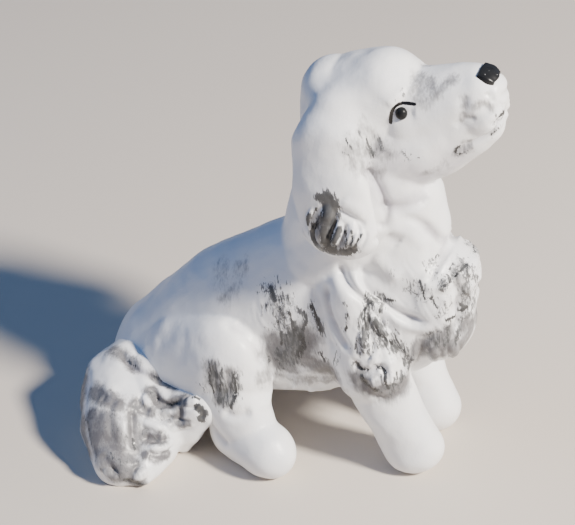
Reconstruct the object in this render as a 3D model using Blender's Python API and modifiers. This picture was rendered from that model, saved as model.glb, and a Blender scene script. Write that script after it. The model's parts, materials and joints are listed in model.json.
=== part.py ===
"""A sitting spaniel about 51 mm tall: a small painted figure, cast in pieces that are pegged and glued together.

The constants are in millimetres and the scene is in metres. +X is the way the dog faces, +Y its left and +Z up.
Body, limbs, ears and tail are soft forms. Each is a chain of stations, and a station is one ellipsoid:
    (x, y, z, half length, half width, half height[, pitch[, yaw]]), the last two in degrees.
Neighbouring stations are wrapped in one hull, and the hulls of a casting are remeshed into one smooth skin.
"""

import math

import bmesh
import bpy
from mathutils import Matrix, Vector

MM = 0.001

# Stations are measured from a point on the ground under the shoulders. This moves the footprint's centre to x = y = 0.
ORIGIN = Vector((-1.15, 3.15, 0.0))

SEAM = 0.3  # glue gap between two castings that meet on a flat face
SEAT = 0.18  # gap under an ear or the tail, which lie on the body's round surface
PEG_FIT = 0.1  # radial play of a peg in its socket
PEG_DEEP = 0.4  # a socket is this much deeper than its peg
BEAD_FIT = 0.12  # play of the nose and the eyes in their sockets
ROUND = 16  # sides of a peg

# Trunk: rump, loin, ribs, shoulders.
TRUNK = [
    (-15.6, 0, 6.6, 6.4, 7.6, 6.8),
    (-7.0, 0, 13.0, 7.4, 7.2, 9.4),
    (2.8, 0, 17.2, 8.6, 7.6, 11.6),
    (12.6, 0, 19.8, 8.4, 7.2, 9.4),
]
NECK = [
    (6.0, 0, 24.6, 7.0, 6.6, 6.4),
    (10.2, 0, 32.0, 7.4, 6.3, 5.6),
    (10.2, 0, 38.0, 6.6, 6.0, 6.0),
]
# The fur of the back of the head and of the nape.
NAPE = [
    (5.2, 0, 45.6, 3.4, 4.2, 3.6),
    (5.4, 0, 38.0, 3.4, 4.6, 4.0),
    (4.6, 0, 27.0, 5.0, 5.6, 4.0),
]
# The loose skin from the jaw down to the chest.
THROAT = [
    (12.2, 0, 34.5, 6.0, 5.2, 3.4),
    (12.8, 0, 30.9, 6.4, 5.2, 3.0),
    (14.0, 0, 26.0, 6.0, 6.0, 4.6),
]
# The fur of the chest, which hangs in front of the forelegs.
BIB = [
    (18.0, 0, 25.4, 4.6, 5.6, 3.5),
    (17.4, 0, 22.6, 5.2, 6.2, 4.6),
    (19.0, 0, 18.8, 3.7, 5.6, 4.8),
    (14.6, 0, 19.4, 5.5, 6.2, 5.2),
]
SKULL = [
    (8.6, 0, 43.8, 6.0, 6.1, 6.1),
    (11.4, 0, 46.2, 4.8, 5.2, 5.0),
]
CHEEKS = [
    (10.2, 0, 40.0, 6.0, 6.0, 5.4),
    (15.4, 0, 41.8, 4.9, 4.9, 4.9),
    (20.8, 0, 45.6, 3.4, 3.2, 3.2),
]
MUZZLE = [
    (14.4, 0, 44.4, 5.0, 4.9, 4.9),
    (21.4, 0, 47.4, 3.4, 3.4, 3.6),
    (22.9, 0, 48.1, 2.0, 2.6, 2.4),
]
JAW = [
    (13.4, 0, 39.2, 4.8, 4.4, 4.0),
    (17.0, 0, 40.8, 4.0, 3.8, 3.6),
    (21.8, 0, 44.4, 2.9, 2.8, 2.4),
]
# The upper lip on the right side.
LIP = [
    (20.0, -1.2, 46.4, 3.0, 2.4, 3.0),
    (22.3, -1.1, 46.0, 2.6, 2.2, 2.7),
]
# Limbs on the dog's right side, -Y. The left ones mirror them, but for the left foreleg.
UPPER_ARM = [
    (9.5, -4.6, 22.0, 5.0, 3.6, 5.0),
    (12.4, -5.6, 13.6, 4.4, 3.6, 4.4),
]
FORELEG_RIGHT = [
    (12.4, -5.2, 13.0, 4.0, 3.2, 4.0),
    (15.4, -4.7, 6.6, 3.4, 3.1, 3.6),
    (17.2, -4.4, 3.0, 3.7, 3.3, 3.3),
]
FORELEG_LEFT = [
    (12.4, 5.2, 13.0, 4.0, 3.2, 4.0),
    (15.2, 4.5, 6.4, 3.3, 3.0, 3.6),
    (16.9, 4.2, 3.0, 3.6, 3.3, 3.3),
]
THIGH = [
    (-10.5, -5.0, 8.2, 6.0, 5.0, 7.6),
    (-4.8, -7.6, 10.8, 5.6, 4.2, 6.8),
]
SHANK = [
    (-4.0, -8.4, 8.0, 4.6, 3.8, 5.0),
    (-1.6, -9.6, 5.0, 3.6, 3.2, 3.6),
]
HIND_FOOT = [
    (-3.2, -9.0, 3.8, 3.5, 3.1, 4.0, 0, -28),
    (1.2, -10.8, 2.9, 4.0, 3.3, 3.3, 0, -28),
]
# An ear hangs from beside the crown to below the jaw.
EAR = [
    (7.4, -4.6, 45.0, 3.6, 1.8, 3.0),
    (7.0, -6.4, 41.6, 4.2, 2.0, 4.0),
    (7.8, -7.6, 36.8, 4.5, 1.8, 3.6),
    (8.9, -8.0, 32.5, 4.6, 1.9, 3.2),
]
# The tail lies on the ground and wraps round the right haunch: its core, its front fringe and its curled lock.
TAIL_CORE = [
    (-15.8, -3.0, 5.4, 4.6, 4.6, 4.8),
    (-17.8, -8.0, 5.4, 5.0, 5.4, 5.2),
    (-16.4, -13.0, 4.2, 4.7, 4.8, 4.4),
    (-14.4, -17.8, 1.8, 3.1, 2.8, 2.6),
]
TAIL_FRINGE = [
    (-15.0, -8.0, 6.0, 4.0, 4.0, 4.6),
    (-11.6, -13.0, 3.0, 3.2, 3.6, 3.6),
    (-12.2, -17.8, 1.2, 2.2, 2.2, 1.6),
]
TAIL_LOCK = [
    (-13.0, -10.0, 5.0, 3.0, 3.0, 4.0),
    (-9.4, -10.8, 4.4, 2.6, 2.6, 4.4),
    (-6.4, -11.2, 6.8, 1.6, 1.6, 2.0),
]

# Seams between the castings, each a plane through a point.
NECK_SEAM = Vector((10.2, 0.0, 34.0))
FORELEG_SEAM = Vector((13.6, 0.0, 9.6))
FORELEG_TILT = 23.0  # degrees that the foreleg's seam slopes up toward the front
HAUNCH_SEAM = Vector((-9.5, -6.1, 9.0))
HAUNCH_OUT = Vector((-0.10, -0.95, -0.25))  # outward normal of the right haunch's seam

# Pegs: radius and length past the seam.
NECK_PEG = (2.6, 5.0)
LEG_PEG = (1.4, 3.6)
HAUNCH_PEG = (1.6, 3.6)
EAR_PEG = (0.7, 2.2)
TAIL_PEG = (1.2, 3.4)

# The nose is a squarish pad and an eye is a bead: centre, then half sizes.
NOSE = ((22.5, -0.3, 49.85), (1.25, 1.6, 1.2))
NOSE_PITCH = 20.0
EYE = ((14.5, -4.6, 46.4), (0.65, 0.6, 0.72))


def clear_scene():
    """Starts from an empty scene."""
    for obj in list(bpy.data.objects):
        bpy.data.objects.remove(obj, do_unlink=True)


def new_collection(name):
    """Makes a collection in the scene."""
    made = bpy.data.collections.new(name)
    bpy.context.scene.collection.children.link(made)
    return made


def painted(name, colour, roughness):
    """A material with one plain paint."""
    made = bpy.data.materials.new(name)
    made.use_nodes = True
    shader = made.node_tree.nodes["Principled BSDF"]
    shader.inputs["Base Color"].default_value = (*colour, 1.0)
    shader.inputs["Roughness"].default_value = roughness
    shader.inputs["Metallic"].default_value = 0.0
    return made


def at(point):
    """The place in the scene, in metres, of a point given in millimetres in the stations' frame."""
    return Matrix.Translation((Vector(point) + ORIGIN) * MM)


def mirrored(chain):
    """The same chain on the other side of the dog."""
    turned = []
    for x, y, z, long, wide, tall, *angles in chain:
        if len(angles) == 2:
            angles = [angles[0], -angles[1]]
        turned.append((x, -y, z, long, wide, tall, *angles))
    return turned


def flipped(point):
    """The point on the other side of the dog."""
    return Vector((point[0], -point[1], point[2]))


def add_ellipsoid(bm, station, detail):
    """Adds the ball of one station to bm."""
    x, y, z, long, wide, tall, *angles = station
    pitch = math.radians(angles[0]) if angles else 0.0
    yaw = math.radians(angles[1]) if len(angles) == 2 else 0.0
    matrix = (
        at((x, y, z))
        @ Matrix.Rotation(yaw, 4, "Z")
        @ Matrix.Rotation(-pitch, 4, "Y")
        @ Matrix.Diagonal((long * MM, wide * MM, tall * MM, 1.0))
    )
    bmesh.ops.create_icosphere(bm, subdivisions=detail, radius=1.0, matrix=matrix)


def add_chain(bm, chain, detail=3):
    """Adds the hull of each pair of neighbouring stations to bm."""
    for first, second in zip(chain, chain[1:]):
        pair = bmesh.new()
        add_ellipsoid(pair, first, detail)
        add_ellipsoid(pair, second, detail)
        bmesh.ops.delete(pair, geom=pair.faces[:], context="FACES_ONLY")
        hull = bmesh.ops.convex_hull(pair, input=pair.verts[:], use_existing_faces=False)
        loose = [item for item in hull["geom_interior"] + hull["geom_unused"] if isinstance(item, bmesh.types.BMVert)]
        bmesh.ops.delete(pair, geom=list(set(loose)), context="VERTS")
        bmesh.ops.recalc_face_normals(pair, faces=pair.faces[:])
        one = bpy.data.meshes.new("hull")
        pair.to_mesh(one)
        pair.free()
        bm.from_mesh(one)
        bpy.data.meshes.remove(one)


def object_from(bm, name, collection):
    """Makes an object of bm, and frees bm."""
    mesh = bpy.data.meshes.new(name)
    bm.to_mesh(mesh)
    bm.free()
    made = bpy.data.objects.new(name, mesh)
    collection.objects.link(made)
    return made


def guide(obj):
    """Marks the object as a cutter or a helper, which isn't part of the figure."""
    obj.hide_render = True
    obj.display_type = "WIRE"
    return obj


def apply_modifiers(obj):
    """Replaces the object's mesh with the result of its modifiers."""
    graph = bpy.context.evaluated_depsgraph_get()
    result = bpy.data.meshes.new_from_object(obj.evaluated_get(graph))
    obj.modifiers.clear()
    obj.data = result


def soft_form(name, chains, voxel, smoothing, kept):
    """One closed skin round the chains. kept is the share of its triangles that stay."""
    bm = bmesh.new()
    for chain in chains:
        add_chain(bm, chain)
    made = guide(object_from(bm, name, cutters))
    remesh = made.modifiers.new("skin", "REMESH")
    remesh.mode = "VOXEL"
    remesh.voxel_size = voxel * MM
    smooth = made.modifiers.new("soften", "SMOOTH")
    smooth.factor = 0.5
    smooth.iterations = smoothing
    thin = made.modifiers.new("thin", "DECIMATE")
    thin.ratio = kept
    apply_modifiers(made)
    return made


def boolean(obj, operation, other):
    """Adds a Boolean modifier."""
    step = obj.modifiers.new(other.name, "BOOLEAN")
    step.operation = operation
    step.object = other
    step.solver = "EXACT"


def box(name, centre, basis, size):
    """A box cutter. basis turns its axes, and size is its full length along each."""
    bm = bmesh.new()
    scale = Matrix.Diagonal((size[0] * MM, size[1] * MM, size[2] * MM, 1.0))
    bmesh.ops.create_cube(bm, size=1.0, matrix=at(centre) @ basis.to_4x4() @ scale)
    return guide(object_from(bm, name, cutters))


def rod(name, start, end, radius):
    """A cylinder from start to end, used as a peg or to cut its socket."""
    bm = bmesh.new()
    start = Vector(start)
    end = Vector(end)
    turn = (end - start).to_track_quat("Z", "Y").to_matrix().to_4x4()
    bmesh.ops.create_cone(
        bm,
        cap_ends=True,
        segments=ROUND,
        radius1=radius * MM,
        radius2=radius * MM,
        depth=(end - start).length * MM,
        matrix=at((start + end) / 2) @ turn,
    )
    return guide(object_from(bm, name, cutters))


def peg_and_socket(name, seam, inward, size, root):
    """A peg that starts root mm inside its own casting, and the socket that it enters along inward."""
    radius, length = size
    inward = Vector(inward).normalized()
    seam = Vector(seam)
    peg = rod(name + "_peg", seam - inward * root, seam + inward * length, radius)
    socket_end = seam + inward * (length + PEG_DEEP)
    socket = rod(name + "_socket", seam - inward * root, socket_end, radius + PEG_FIT)
    return peg, socket


def grown(obj, name, thickness):
    """A copy of the object whose surface stands out by thickness."""
    made = bpy.data.objects.new(name, obj.data.copy())
    cutters.objects.link(made)
    swell = made.modifiers.new("swell", "DISPLACE")
    swell.strength = thickness * MM
    swell.mid_level = 0.0
    apply_modifiers(made)
    return guide(made)


def casting(name, source, material, smooth=True):
    """A piece of the figure that starts as a copy of source."""
    mesh = source.data.copy()
    mesh.name = name
    mesh.materials.clear()
    mesh.materials.append(material)
    if smooth:
        mesh.shade_smooth()
    made = bpy.data.objects.new(name, mesh)
    figure.objects.link(made)
    return made


def bead(name, centre, half, pitch, squareness, grow):
    """A small rounded pad: a sphere whose sides are pressed toward a box by squareness, 0 to 1."""
    bm = bmesh.new()
    bmesh.ops.create_uvsphere(bm, u_segments=12, v_segments=8, radius=1.0)
    for vert in bm.verts:
        longest = max(abs(value) for value in vert.co)
        vert.co *= 1.0 + squareness * (1.0 / longest - 1.0)
    scale = Matrix.Diagonal([(value + grow) * MM for value in half] + [1.0])
    turn = Matrix.Rotation(math.radians(pitch), 4, "Y")
    bmesh.ops.transform(bm, matrix=at(centre) @ turn @ scale, verts=bm.verts[:])
    return guide(object_from(bm, name, cutters))


clear_scene()
figure = new_collection("sitting_spaniel_figure")
cutters = new_collection("cutters")

white_cream = painted("white_paint", (0.82, 0.83, 0.86), 0.45)
white_fur = painted("white_fur_paint", (0.78, 0.79, 0.83), 0.50)
grey_fur = painted("grey_brushed_paint", (0.42, 0.43, 0.47), 0.50)
grey_ear = painted("grey_ear_paint", (0.55, 0.56, 0.60), 0.40)
black_enamel = painted("black_nose_paint", (0.015, 0.015, 0.018), 0.20)
black_eye = painted("black_eye_paint", (0.010, 0.010, 0.012), 0.15)

# The whole dog without its ears and tail, as one skin with flat soles. The castings are cut from it.
dog = soft_form(
    "dog",
    [
        TRUNK,
        NECK,
        NAPE,
        THROAT,
        BIB,
        SKULL,
        CHEEKS,
        MUZZLE,
        JAW,
        LIP,
        mirrored(LIP),
        UPPER_ARM,
        mirrored(UPPER_ARM),
        FORELEG_RIGHT,
        FORELEG_LEFT,
        THIGH,
        mirrored(THIGH),
        SHANK,
        mirrored(SHANK),
        HIND_FOOT,
        mirrored(HIND_FOOT),
    ],
    voxel=0.8,
    smoothing=3,
    kept=0.22,
)
ground = box("ground", (0, 0, -5), Matrix.Identity(3), (90, 90, 10))
boolean(dog, "DIFFERENCE", ground)
apply_modifiers(dog)
dog_swollen = grown(dog, "dog_swollen", SEAT)

# Neck seam: level, below the jaw.
level = Matrix.Identity(3)
above_neck = box("above_neck", NECK_SEAM + Vector((0, 0, 15 - SEAM / 2)), level, (50, 40, 30))
below_neck = box("below_neck", NECK_SEAM + Vector((0, 0, -25 + SEAM / 2)), level, (70, 50, 50))
neck_peg, neck_socket = peg_and_socket("neck", NECK_SEAM, (0, 0, -1), NECK_PEG, root=2.5)

# Foreleg seams: just below the elbow, square to the leg.
fore_turn = Matrix.Rotation(math.radians(-FORELEG_TILT), 3, "Y")
leg_down = fore_turn @ Vector((0, 0, -1))
fore_size = Vector((14, 11, 16))
fore_zone = {}
fore_zone_cut = {}
for side, sign in (("right", -1), ("left", 1)):
    middle = Vector((15.0, sign * 6.0, 0)) + Vector((0, 0, FORELEG_SEAM.z + 0.6)) + leg_down * 8
    fore_zone_cut[side] = box("fore_cut_" + side, middle, fore_turn, fore_size)
    inner = middle + leg_down * SEAM
    fore_zone[side] = box("fore_keep_" + side, inner, fore_turn, fore_size)
fore_peg = {}
fore_socket = {}
for side, sign in (("right", -1), ("left", 1)):
    seam = Vector((14.0, sign * 4.9, 9.8))
    fore_peg[side], fore_socket[side] = peg_and_socket("foreleg_" + side, seam, -leg_down, LEG_PEG, root=2.5)

# Haunch seams: a sloping plane on each side, so a hind leg is one casting from haunch to toes.
haunch_zone = {}
haunch_zone_cut = {}
haunch_peg = {}
haunch_socket = {}
for side, sign in (("right", 1), ("left", -1)):
    out = Vector((HAUNCH_OUT.x, HAUNCH_OUT.y * sign, HAUNCH_OUT.z)).normalized()
    forward = (Vector((1, 0, 0)) - out * out.x).normalized()
    basis = Matrix((forward, out.cross(forward), out)).transposed()
    point = Vector((HAUNCH_SEAM.x, HAUNCH_SEAM.y * sign, HAUNCH_SEAM.z))
    haunch_zone_cut[side] = box("haunch_cut_" + side, point + out * 15, basis, (34, 50, 30))
    haunch_zone[side] = box("haunch_keep_" + side, point + out * (15 + SEAM), basis, (34, 50, 30))
    seam = Vector((-7.0, point.y, 9.6))
    haunch_peg[side], haunch_socket[side] = peg_and_socket("haunch_" + side, seam, -out, HAUNCH_PEG, root=2.2)

# Ear pegs go straight in from the side, and the tail's peg goes forward into the right haunch.
ear_peg = {}
ear_socket = {}
for side, sign in (("right", -1), ("left", 1)):
    seam = Vector((7.4, sign * 6.1, 42.2))
    ear_peg[side], ear_socket[side] = peg_and_socket("ear_" + side, seam, (0, -sign, 0), EAR_PEG, root=1.2)
tail_peg, tail_socket = peg_and_socket("tail", (-15.6, -7.4, 6.6), (1, 0, 0), TAIL_PEG, root=2.6)

# Nose and eyes: the bead and, a little larger, its socket.
nose_bead = bead("nose_bead", NOSE[0], NOSE[1], NOSE_PITCH, 0.4, 0.0)
nose_socket = bead("nose_socket", NOSE[0], NOSE[1], NOSE_PITCH, 0.4, BEAD_FIT)
eye_bead = {}
eye_socket = {}
for side, centre in (("right", Vector(EYE[0])), ("left", flipped(EYE[0]))):
    eye_bead[side] = bead("eye_bead_" + side, centre, EYE[1], 0.0, 0.0, 0.0)
    eye_socket[side] = bead("eye_socket_" + side, centre, EYE[1], 0.0, 0.0, BEAD_FIT)

# Torso: trunk, chest fur, shoulders, elbows and neck, with a socket for each neighbour.
torso = casting("torso", dog, white_cream)
boolean(torso, "DIFFERENCE", above_neck)
boolean(torso, "DIFFERENCE", neck_socket)
for side in ("right", "left"):
    boolean(torso, "DIFFERENCE", fore_zone_cut[side])
    boolean(torso, "DIFFERENCE", fore_socket[side])
    boolean(torso, "DIFFERENCE", haunch_zone_cut[side])
    boolean(torso, "DIFFERENCE", haunch_socket[side])

# Head: skull, muzzle and jaw, with the neck peg under it.
head = casting("head", dog, white_cream)
boolean(head, "DIFFERENCE", below_neck)
boolean(head, "UNION", neck_peg)
boolean(head, "DIFFERENCE", nose_socket)
for side in ("right", "left"):
    boolean(head, "DIFFERENCE", eye_socket[side])
    boolean(head, "DIFFERENCE", ear_socket[side])

# Legs.
for side in ("right", "left"):
    foreleg = casting("foreleg_" + side, dog, white_cream)
    boolean(foreleg, "INTERSECT", fore_zone[side])
    boolean(foreleg, "UNION", fore_peg[side])
    hind_leg = casting("hind_leg_" + side, dog, white_cream)
    boolean(hind_leg, "INTERSECT", haunch_zone[side])
    boolean(hind_leg, "UNION", haunch_peg[side])
    if side == "right":
        boolean(hind_leg, "DIFFERENCE", tail_socket)

# Ears: each lies on the side of the head and neck.
for side, chain in (("right", EAR), ("left", mirrored(EAR))):
    form = soft_form("ear_form_" + side, [chain], voxel=0.6, smoothing=2, kept=0.3)
    ear = casting("ear_" + side, form, grey_ear)
    boolean(ear, "DIFFERENCE", dog_swollen)
    boolean(ear, "UNION", ear_peg[side])

# Tail: lies against the rump and the right haunch, flat where it rests on the ground.
tail_form = soft_form("tail_form", [TAIL_CORE, TAIL_FRINGE, TAIL_LOCK], voxel=0.7, smoothing=2, kept=0.3)
tail = casting("tail", tail_form, grey_fur)
boolean(tail, "DIFFERENCE", dog_swollen)
boolean(tail, "DIFFERENCE", ground)
boolean(tail, "UNION", tail_peg)

# Face.
casting("nose", nose_bead, black_enamel)
for side in ("right", "left"):
    casting("eye_" + side, eye_bead[side], black_eye)
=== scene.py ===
"""The look of a small painted figure: a sitting spaniel in satin white with grey dry-brushing.

Every casting is sculpted from the same stations as its solid in the frame, at about a quarter of the
grain: hulls between ellipsoids, one fine skin round them, then strokes pressed into the skin for folds,
locks, mouth and brow. The paint is a procedural material that reads where the brush went from attributes
of the mesh. Lengths in the constants are millimetres. A stroke is drawn on the side or front view and
falls onto the skin, or is given as places in space that move to the nearest skin.

Some points in the stroke tables were not drawn by hand: they are places on the skin that a measuring
script printed, to 0.1 mm. This is so for more than half of TOUCHES, and for fewer in the other tables.
"""

import json
import math

import bmesh
import bpy
import numpy as np
from mathutils import Matrix, Vector, noise
from mathutils.bvhtree import BVHTree

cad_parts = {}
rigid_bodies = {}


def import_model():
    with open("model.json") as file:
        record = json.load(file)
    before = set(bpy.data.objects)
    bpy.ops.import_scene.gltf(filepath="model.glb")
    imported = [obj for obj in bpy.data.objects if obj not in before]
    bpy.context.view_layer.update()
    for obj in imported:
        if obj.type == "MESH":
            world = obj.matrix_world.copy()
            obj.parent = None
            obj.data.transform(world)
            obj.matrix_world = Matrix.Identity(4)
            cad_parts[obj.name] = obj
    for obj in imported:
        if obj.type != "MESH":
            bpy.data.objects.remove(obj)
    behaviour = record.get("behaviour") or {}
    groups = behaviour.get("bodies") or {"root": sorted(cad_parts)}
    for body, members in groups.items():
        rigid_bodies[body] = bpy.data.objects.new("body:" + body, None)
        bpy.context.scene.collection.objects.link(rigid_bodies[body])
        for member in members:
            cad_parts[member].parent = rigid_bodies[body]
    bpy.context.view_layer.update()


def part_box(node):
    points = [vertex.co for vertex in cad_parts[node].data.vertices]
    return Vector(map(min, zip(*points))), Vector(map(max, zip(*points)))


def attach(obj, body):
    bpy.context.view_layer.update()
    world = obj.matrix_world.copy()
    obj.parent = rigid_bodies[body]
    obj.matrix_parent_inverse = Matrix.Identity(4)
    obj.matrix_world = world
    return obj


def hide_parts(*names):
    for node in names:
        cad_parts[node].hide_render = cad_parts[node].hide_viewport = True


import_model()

MM = 0.001
NOSE_AT = Vector((22.5, -0.3, 49.85))
EYE_AT = Vector((14.5, -4.6, 46.4))
nose_low, nose_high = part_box("nose")
nose_middle = (Vector(nose_low) + Vector(nose_high)) / 2 / MM
# From the stations' frame to the row's: the nose's own middle tells how far.
ORIGIN = Vector([round(gap, 2) for gap in nose_middle - NOSE_AT])

# ---------------------------------------------------------------- stations
TRUNK = [
    (-15.6, 0, 6.6, 6.4, 7.6, 6.8),
    (-7.0, 0, 13.0, 7.4, 7.2, 9.4),
    (2.8, 0, 17.2, 8.6, 7.6, 11.6),
    (12.6, 0, 19.8, 8.4, 7.2, 9.4),
]
NECK = [
    (6.0, 0, 24.6, 7.0, 6.6, 6.4),
    (10.2, 0, 32.0, 7.4, 6.3, 5.6),
    (10.2, 0, 38.0, 6.6, 6.0, 6.0),
]
NAPE = [
    (5.2, 0, 45.6, 3.4, 4.2, 3.6),
    (5.4, 0, 38.0, 3.4, 4.6, 4.0),
    (4.6, 0, 27.0, 5.0, 5.6, 4.0),
]
THROAT = [
    (12.2, 0, 34.5, 6.0, 5.2, 3.4),
    (12.8, 0, 30.9, 6.4, 5.2, 3.0),
    (14.0, 0, 26.0, 6.0, 6.0, 4.6),
]
BIB = [
    (18.0, 0, 25.4, 4.6, 5.6, 3.5),
    (17.4, 0, 22.6, 5.2, 6.2, 4.6),
    (19.0, 0, 18.8, 3.7, 5.6, 4.8),
    (14.6, 0, 19.4, 5.5, 6.2, 5.2),
]
SKULL = [
    (8.6, 0, 43.8, 6.0, 6.1, 6.1),
    (11.4, 0, 46.2, 4.8, 5.2, 5.0),
]
CHEEKS = [
    (10.2, 0, 40.0, 6.0, 6.0, 5.4),
    (15.4, 0, 41.8, 4.9, 4.9, 4.9),
    (20.8, 0, 45.6, 3.4, 3.2, 3.2),
]
MUZZLE = [
    (14.4, 0, 44.4, 5.0, 4.9, 4.9),
    (21.4, 0, 47.4, 3.4, 3.4, 3.6),
    (22.9, 0, 48.1, 2.0, 2.6, 2.4),
]
JAW = [
    (13.4, 0, 39.2, 4.8, 4.4, 4.0),
    (17.0, 0, 40.8, 4.0, 3.8, 3.6),
    (21.8, 0, 44.4, 2.9, 2.8, 2.4),
]
# The upper lip on one side.
LIP = [
    (20.0, -1.2, 46.4, 3.0, 2.4, 3.0),
    (22.3, -1.1, 46.0, 2.6, 2.2, 2.7),
]
UPPER_ARM = [
    (9.5, -4.6, 22.0, 5.0, 3.6, 5.0),
    (12.4, -5.6, 13.6, 4.4, 3.6, 4.4),
]
FORELEG_RIGHT = [
    (12.4, -5.2, 13.0, 4.0, 3.2, 4.0),
    (15.4, -4.7, 6.6, 3.4, 3.1, 3.6),
    (17.2, -4.4, 3.0, 3.7, 3.3, 3.3),
]
FORELEG_LEFT = [
    (12.4, 5.2, 13.0, 4.0, 3.2, 4.0),
    (15.2, 4.5, 6.4, 3.3, 3.0, 3.6),
    (16.9, 4.2, 3.0, 3.6, 3.3, 3.3),
]
THIGH = [
    (-10.5, -5.0, 8.2, 6.0, 5.0, 7.6),
    (-4.8, -7.6, 10.8, 5.6, 4.2, 6.8),
]
SHANK = [
    (-4.0, -8.4, 8.0, 4.6, 3.8, 5.0),
    (-1.6, -9.6, 5.0, 3.6, 3.2, 3.6),
]
HIND_FOOT = [
    (-3.2, -9.0, 3.8, 3.5, 3.1, 4.0, 0, -28),
    (1.2, -10.8, 2.9, 4.0, 3.3, 3.3, 0, -28),
]
EAR = [
    (7.4, -4.6, 45.0, 3.6, 1.8, 3.0),
    (7.0, -6.4, 41.6, 4.2, 2.0, 4.0),
    (7.8, -7.6, 36.8, 4.5, 1.8, 3.6),
    (8.9, -8.0, 32.5, 4.6, 1.9, 3.2),
]
TAIL_CORE = [
    (-15.8, -3.0, 5.4, 4.6, 4.6, 4.8),
    (-17.8, -8.0, 5.4, 5.0, 5.4, 5.2),
    (-16.4, -13.0, 4.2, 4.7, 4.8, 4.4),
    (-14.4, -17.8, 1.8, 3.1, 2.8, 2.6),
]
TAIL_FRINGE = [
    (-15.0, -8.0, 6.0, 4.0, 4.0, 4.6),
    (-11.6, -13.0, 3.0, 3.2, 3.6, 3.6),
    (-12.2, -17.8, 1.2, 2.2, 2.2, 1.6),
]
TAIL_LOCK = [
    (-13.0, -10.0, 5.0, 3.0, 3.0, 4.0),
    (-9.4, -10.8, 4.4, 2.6, 2.6, 4.4),
    (-6.4, -11.2, 6.8, 1.6, 1.6, 2.0),
]

NECK_SEAM = Vector((10.2, 0.0, 34.0))
FORELEG_SEAM = Vector((13.6, 0.0, 9.6))
FORELEG_DOWN = Vector((math.sin(math.radians(23.0)), 0, -math.cos(math.radians(23.0))))
EAR_SEAM = 6.5
EAR_FOOT = {"right": 27.3, "left": 28.4}  # a height between the ear's tip and the shoulder
EAR_TOP = 48.0
HAUNCH_SEAM = Vector((-9.5, -6.1, 9.0))
HAUNCH_OUT = Vector((-0.10, -0.95, -0.25)).normalized()

# A view's rays start outside the figure: how a drawn point (a, b) becomes a start, and the way the ray goes.
VIEWS = {
    "right": (lambda a, b: (a, -70, b), (0, 1, 0)),
    "left": (lambda a, b: (a, 70, b), (0, -1, 0)),
    "front": (lambda a, b: (70, a, b), (-1, 0, 0)),
}
MISSED_DEPTH = 62.0  # how far along its ray a point that misses the skin is taken to be


# ---------------------------------------------------------------- clay
def at(point):
    """A place in the row's frame, in metres."""
    return Matrix.Translation((Vector(point) + ORIGIN) * MM)


def mirrored(chain):
    """The chain on the dog's other side."""
    turned = []
    for x, y, z, long, wide, tall, *angles in chain:
        if len(angles) == 2:
            angles = [angles[0], -angles[1]]
        turned.append((x, -y, z, long, wide, tall, *angles))
    return turned


def add_ellipsoid(bm, station, detail):
    x, y, z, long, wide, tall, *angles = station
    pitch = math.radians(angles[0]) if angles else 0.0
    yaw = math.radians(angles[1]) if len(angles) == 2 else 0.0
    matrix = (
        at((x, y, z))
        @ Matrix.Rotation(yaw, 4, "Z")
        @ Matrix.Rotation(-pitch, 4, "Y")
        @ Matrix.Diagonal((long * MM, wide * MM, tall * MM, 1.0))
    )
    bmesh.ops.create_icosphere(bm, subdivisions=detail, radius=1.0, matrix=matrix)


def add_chain(bm, chain, detail=4):
    """Adds the hull of each pair of neighbouring stations."""
    for first, second in zip(chain, chain[1:]):
        pair = bmesh.new()
        add_ellipsoid(pair, first, detail)
        add_ellipsoid(pair, second, detail)
        bmesh.ops.delete(pair, geom=pair.faces[:], context="FACES_ONLY")
        hull = bmesh.ops.convex_hull(pair, input=pair.verts[:], use_existing_faces=False)
        inside = hull["geom_interior"] + hull["geom_unused"]
        loose = [item for item in inside if isinstance(item, bmesh.types.BMVert)]
        bmesh.ops.delete(pair, geom=list(set(loose)), context="VERTS")
        bmesh.ops.recalc_face_normals(pair, faces=pair.faces[:])
        one = bpy.data.meshes.new("hull")
        pair.to_mesh(one)
        pair.free()
        bm.from_mesh(one)
        bpy.data.meshes.remove(one)


def smooth_between(points, step=0.35):
    """Points every step mm along a smooth curve through the control points."""
    points = [Vector(p) for p in points]
    ends = [2 * points[0] - points[1]] + points + [2 * points[-1] - points[-2]]
    line = []
    for i in range(1, len(ends) - 2):
        p0, p1, p2, p3 = ends[i - 1 : i + 3]
        count = max(1, round((p2 - p1).length / step))
        for k in range(count):
            t = k / count
            line.append(
                0.5 * (2 * p1 + (p2 - p0) * t + (2 * p0 - 5 * p1 + 4 * p2 - p3) * t**2
                       + (3 * p1 - 3 * p2 + p3 - p0) * t**3)
            )
    return line + [points[-1]]


LOCK_FADE = 0.3  # a lock thins out over this share of its length at each end
LOCK_GROOVE = 0.5  # the grooves beside a lock, as a share of its height
FAR_SIDE_PAINT = 0.8  # the left side gets this share of the right side's paint


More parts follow.
